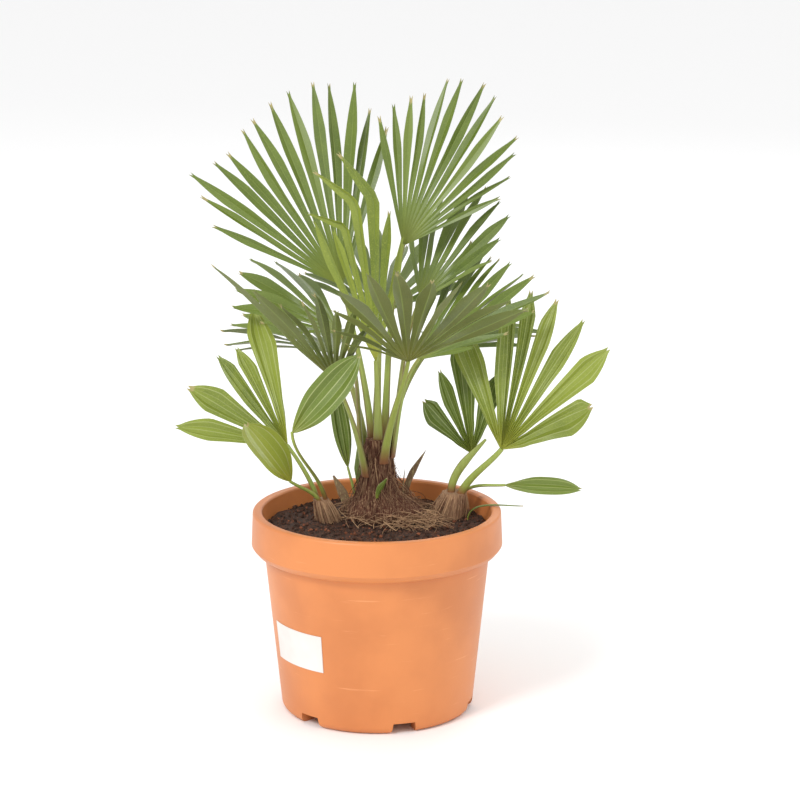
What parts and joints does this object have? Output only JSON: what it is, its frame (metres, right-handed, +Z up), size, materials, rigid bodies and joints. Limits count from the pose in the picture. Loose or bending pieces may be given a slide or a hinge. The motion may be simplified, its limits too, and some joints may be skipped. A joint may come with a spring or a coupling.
{
  "type": "potted siciliana european fan palm",
  "caption": "Young european fan palm in a round orange nursery pot: fibrous trunk, fan fronds on slender petioles and low suckers.",
  "frame": {"origin": "centre of the pot's underside, on the surface it stands on", "axes": "+Z up along the pot's axis, -Y towards the viewer of the plant's front, +X to the right"},
  "size_m": [0.3309, 0.3297, 0.4753],
  "materials": {
    "pot_plastic": "satin terracotta orange",
    "soil": "loose dark brown",
    "fibre": "rough brown fibre",
    "dry": "dry brown",
    "petiole": "smooth green",
    "leaf": "satin green",
    "leaf_young": "satin yellow green"
  },
  "bodies": {
    "root": {"pot": "pot_plastic", "soil": "soil", "trunk": "fibre", "left_sucker_stem": "fibre", "right_sucker_stem": "fibre", "frond_left_high_blade": "leaf", "frond_left_high_petiole": "petiole", "frond_right_high_blade": "leaf", "frond_right_high_petiole": "petiole", "frond_spear_blade": "leaf_young", "frond_spear_petiole": "petiole", "frond_front_blade": "leaf", "frond_front_petiole": "petiole", "frond_right_low_blade": "leaf", "frond_right_low_petiole": "petiole", "frond_left_low_blade": "leaf", "frond_left_low_petiole": "petiole", "frond_left_back_blade": "leaf", "frond_left_back_petiole": "petiole", "frond_right_back_blade": "leaf", "frond_right_back_petiole": "petiole", "frond_back_left_blade": "leaf", "frond_back_left_petiole": "petiole", "frond_back_right_blade": "leaf", "frond_back_right_petiole": "petiole", "frond_back_blade": "leaf", "frond_back_petiole": "petiole", "left_sucker_fan_blade": "leaf", "left_sucker_fan_petiole": "petiole", "left_sucker_front_blade": "leaf", "left_sucker_front_petiole": "petiole", "left_sucker_lens_blade": "leaf", "left_sucker_lens_petiole": "petiole", "trunk_shoot_blade": "leaf", "trunk_shoot_petiole": "petiole", "right_sucker_fan_blade": "leaf_young", "right_sucker_fan_petiole": "petiole", "right_sucker_rear_blade": "leaf", "right_sucker_rear_petiole": "petiole", "right_sucker_low_blade": "leaf", "right_sucker_low_petiole": "petiole", "right_sucker_sheath": "petiole", "right_sucker_grass": "leaf", "dead_sheath_right": "dry", "dead_spike": "dry", "dead_sheath_left": "dry", "dark_leaf": "leaf", "tiny_leaf": "leaf_young"}
  },
  "joints": []
}
